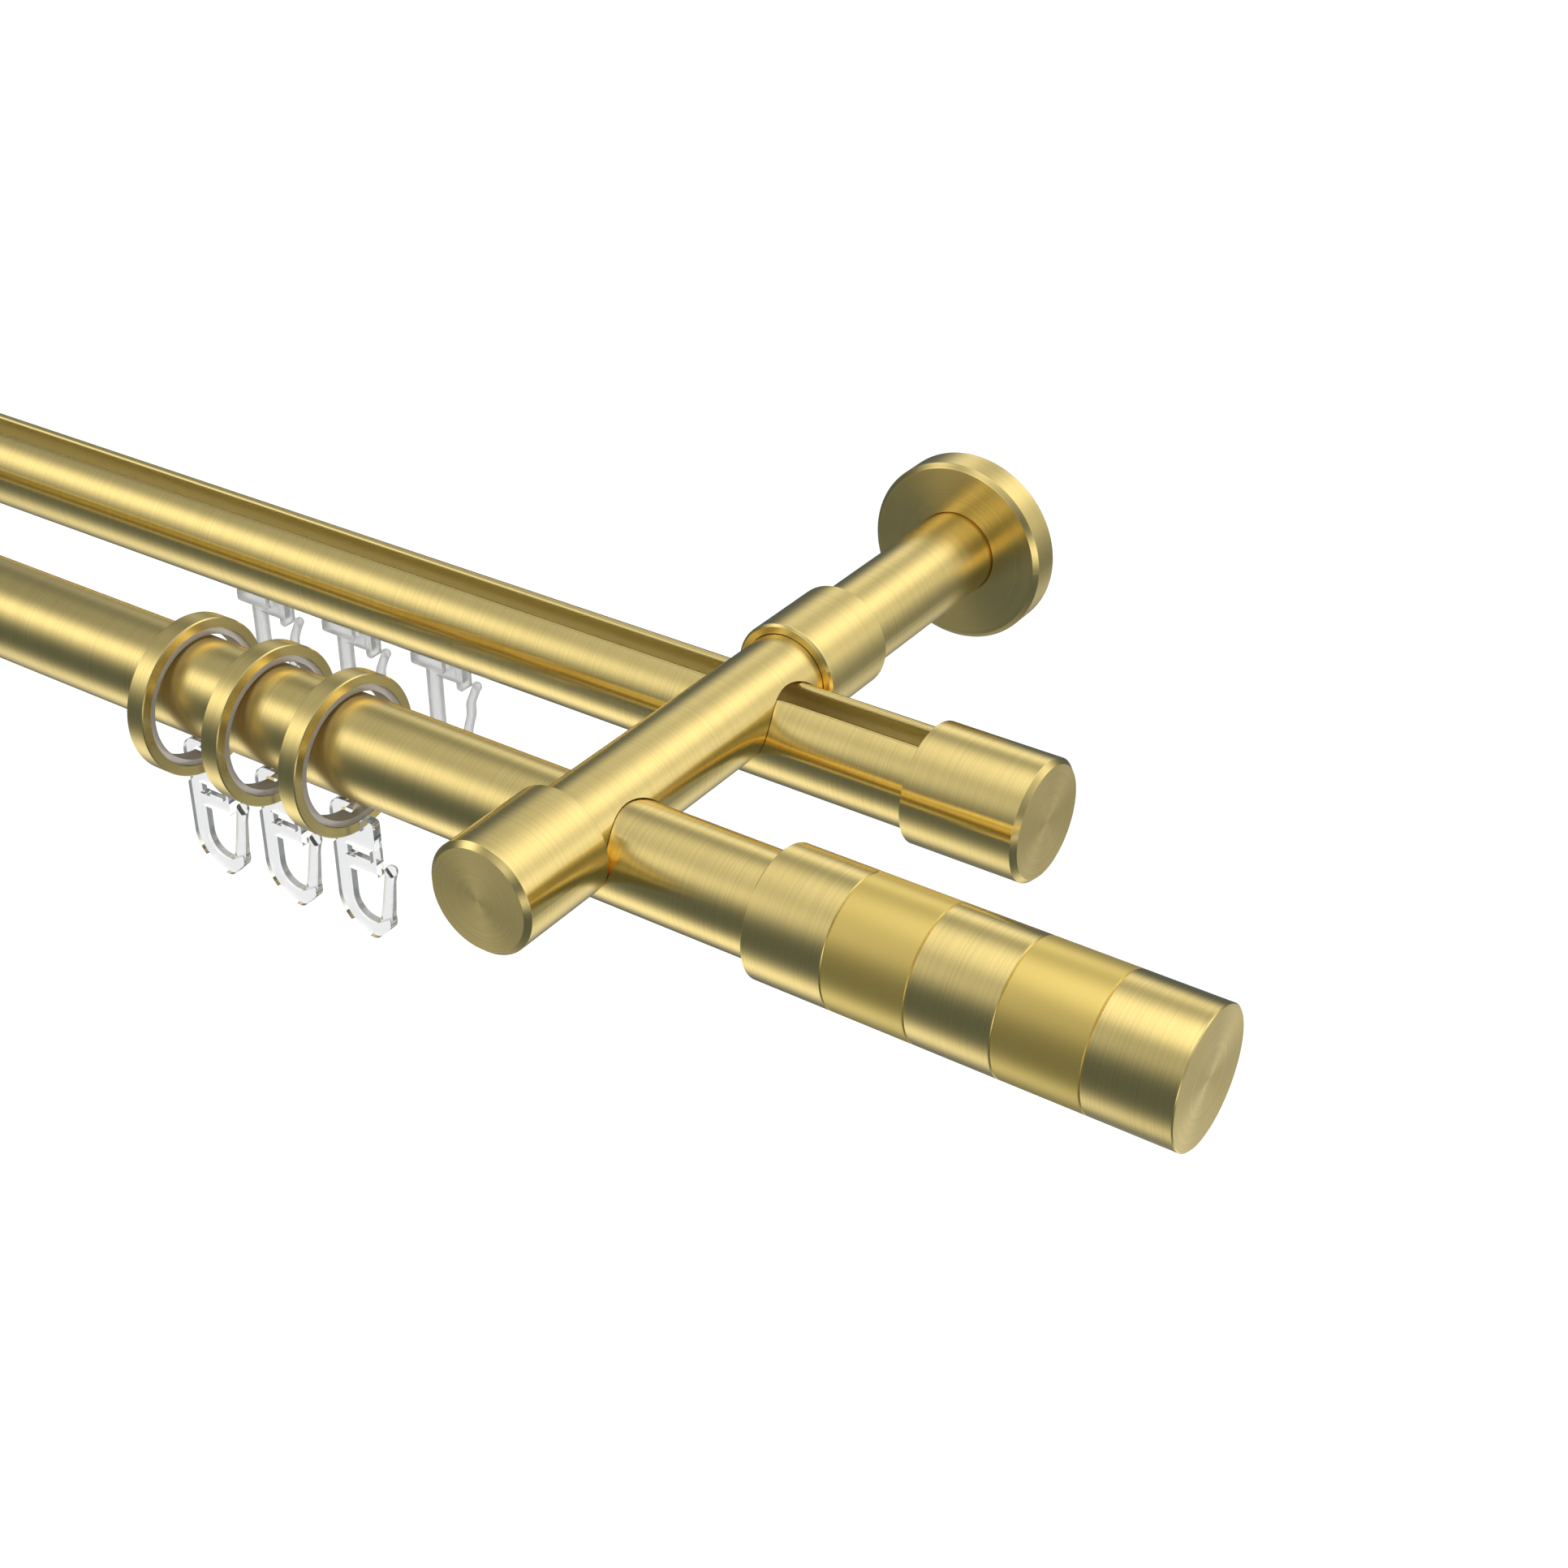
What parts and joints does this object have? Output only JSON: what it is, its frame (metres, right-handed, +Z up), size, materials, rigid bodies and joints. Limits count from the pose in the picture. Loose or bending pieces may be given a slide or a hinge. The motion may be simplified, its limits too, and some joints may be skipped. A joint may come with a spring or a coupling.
{
  "type": "curtain rod",
  "caption": "Brass-toned curtain rod on a straight wall bracket, with a turned finial, curtain rings with clear pleat hooks, and an inner rail with end cap and gliders behind it.",
  "frame": {"origin": "centre of the bracket's wall end, on the wall plane, at the mouth of its bolt hole", "axes": "+Y into the wall along the bracket, +X along the rods towards the finial, +Z up"},
  "size_m": [0.38, 0.164, 0.0692],
  "materials": {
    "brass_toned_metal": "brushed, brass-coloured",
    "steel_screw": "plated",
    "liner_plastic": "matte warm grey",
    "clear_plastic": "clear, glossy moulded",
    "milky_plastic": "translucent white moulded"
  },
  "bodies": {
    "bracket": {"wall_plate": "brass_toned_metal", "wall_arm": "brass_toned_metal", "bracket_bar": "brass_toned_metal", "sleeve": "brass_toned_metal", "front_cap": "brass_toned_metal", "front_rod": "brass_toned_metal", "finial_core": "brass_toned_metal", "finial_ring_1": "brass_toned_metal", "finial_ring_2": "brass_toned_metal", "finial_ring_3": "brass_toned_metal", "finial_ring_4": "brass_toned_metal", "finial_ring_5": "brass_toned_metal", "rail": "brass_toned_metal", "rail_end_cap": "brass_toned_metal", "joining_stud": "steel_screw", "rod_clamp_screw": "steel_screw", "sleeve_screw": "steel_screw", "front_cap_screw": "steel_screw", "finial_screw": "steel_screw", "rail_cap_screw": "steel_screw"},
    "curtain_ring_1": {"ring_1": "brass_toned_metal", "ring_liner_1": "liner_plastic", "ring_hook_1": "clear_plastic"},
    "rail_glider_1": {"glider_1": "milky_plastic"},
    "curtain_ring_2": {"ring_2": "brass_toned_metal", "ring_liner_2": "liner_plastic", "ring_hook_2": "clear_plastic"},
    "rail_glider_2": {"glider_2": "milky_plastic"},
    "curtain_ring_3": {"ring_3": "brass_toned_metal", "ring_liner_3": "liner_plastic", "ring_hook_3": "clear_plastic"},
    "rail_glider_3": {"glider_3": "milky_plastic"}
  },
  "joints": [
    {"name": "ring_1_slide", "type": "slide", "parent": "bracket", "child": "curtain_ring_1", "axis": [1, 0, 0], "range_m": [-0.0021, 0.046]},
    {"name": "ring_2_slide", "type": "slide", "parent": "bracket", "child": "curtain_ring_2", "axis": [1, 0, 0], "range_m": [-0.0021, 0.0021]},
    {"name": "ring_3_slide", "type": "slide", "parent": "bracket", "child": "curtain_ring_3", "axis": [1, 0, 0], "range_m": [-0.15, 0.0021]},
    {"name": "glider_1_slide", "type": "slide", "parent": "bracket", "child": "rail_glider_1", "axis": [1, 0, 0], "range_m": [-0.0039, 0.11]},
    {"name": "glider_2_slide", "type": "slide", "parent": "bracket", "child": "rail_glider_2", "axis": [1, 0, 0], "range_m": [-0.0039, 0.0039]},
    {"name": "glider_3_slide", "type": "slide", "parent": "bracket", "child": "rail_glider_3", "axis": [1, 0, 0], "range_m": [-0.115, 0.0039]}
  ]
}
